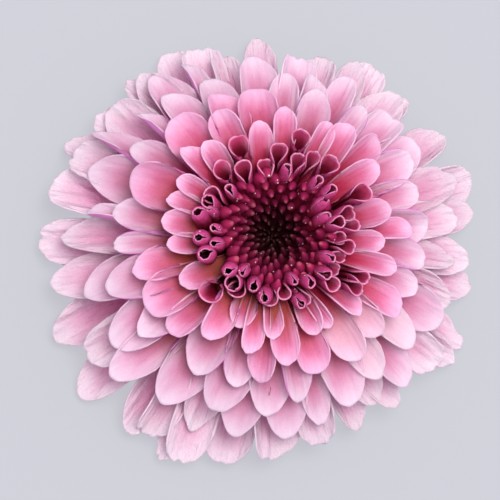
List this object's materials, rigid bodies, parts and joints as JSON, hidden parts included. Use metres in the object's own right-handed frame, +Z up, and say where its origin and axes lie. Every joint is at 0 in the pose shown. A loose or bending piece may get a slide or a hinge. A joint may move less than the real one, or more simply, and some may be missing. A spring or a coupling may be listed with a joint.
{
  "type": "pompon chrysanthemum",
  "caption": "Cut chrysanthemum head with a dense dome of lilac-pink florets around a dark magenta eye, on a short stub of its stalk.",
  "frame": {"origin": "middle of the bounding box at its bottom, where the cut stalk and the lowest florets rest", "axes": "+Z up along the head's axis, out of the flower's face; +X and +Y are right and up as the face is seen from above"},
  "size_m": [0.0744, 0.0728, 0.0278],
  "materials": {
    "floret_outer": "satin",
    "floret_middle": "satin",
    "bud": "satin",
    "bract": "matte",
    "stalk": "matte",
    "receptacle": "matte"
  },
  "bodies": {
    "root": {"bract_row_lower": "bract", "bract_row_upper": "bract", "centre_buds": "bud", "outer_floret_a01": "floret_outer", "outer_floret_a02": "floret_outer", "outer_floret_a03": "floret_outer", "outer_floret_a04": "floret_outer", "outer_floret_a05": "floret_outer", "outer_floret_a06": "floret_outer", "outer_floret_a07": "floret_outer", "outer_floret_a08": "floret_outer", "outer_floret_a09": "floret_outer", "outer_floret_a10": "floret_outer", "outer_floret_a11": "floret_outer", "outer_floret_a12": "floret_outer", "outer_floret_a13": "floret_outer", "outer_floret_a14": "floret_outer", "outer_floret_a15": "floret_outer", "outer_floret_b01": "floret_outer", "outer_floret_b02": "floret_outer", "outer_floret_b03": "floret_outer", "outer_floret_b04": "floret_outer", "outer_floret_b05": "floret_outer", "outer_floret_b06": "floret_outer", "outer_floret_b07": "floret_outer", "outer_floret_b08": "floret_outer", "outer_floret_b09": "floret_outer", "outer_floret_b10": "floret_outer", "outer_floret_b11": "floret_outer", "outer_floret_b12": "floret_outer", "outer_floret_b13": "floret_outer", "outer_floret_b14": "floret_outer", "outer_floret_b15": "floret_outer", "outer_floret_c01": "floret_outer", "outer_floret_c02": "floret_outer", "outer_floret_c03": "floret_outer", "outer_floret_c04": "floret_outer", "outer_floret_c05": "floret_outer", "outer_floret_c06": "floret_outer", "outer_floret_c07": "floret_outer", "outer_floret_c08": "floret_outer", "outer_floret_c09": "floret_outer", "outer_floret_c10": "floret_outer", "outer_floret_c11": "floret_outer", "outer_floret_c12": "floret_outer", "outer_floret_c13": "floret_outer", "outer_floret_c14": "floret_outer", "outer_floret_c15": "floret_outer", "peduncle": "stalk", "receptacle": "receptacle", "whorl_d": "floret_middle", "whorl_e": "floret_middle", "whorl_f": "floret_middle", "whorl_g": "floret_middle", "whorl_h": "floret_middle", "whorl_i": "floret_middle"}
  },
  "joints": []
}
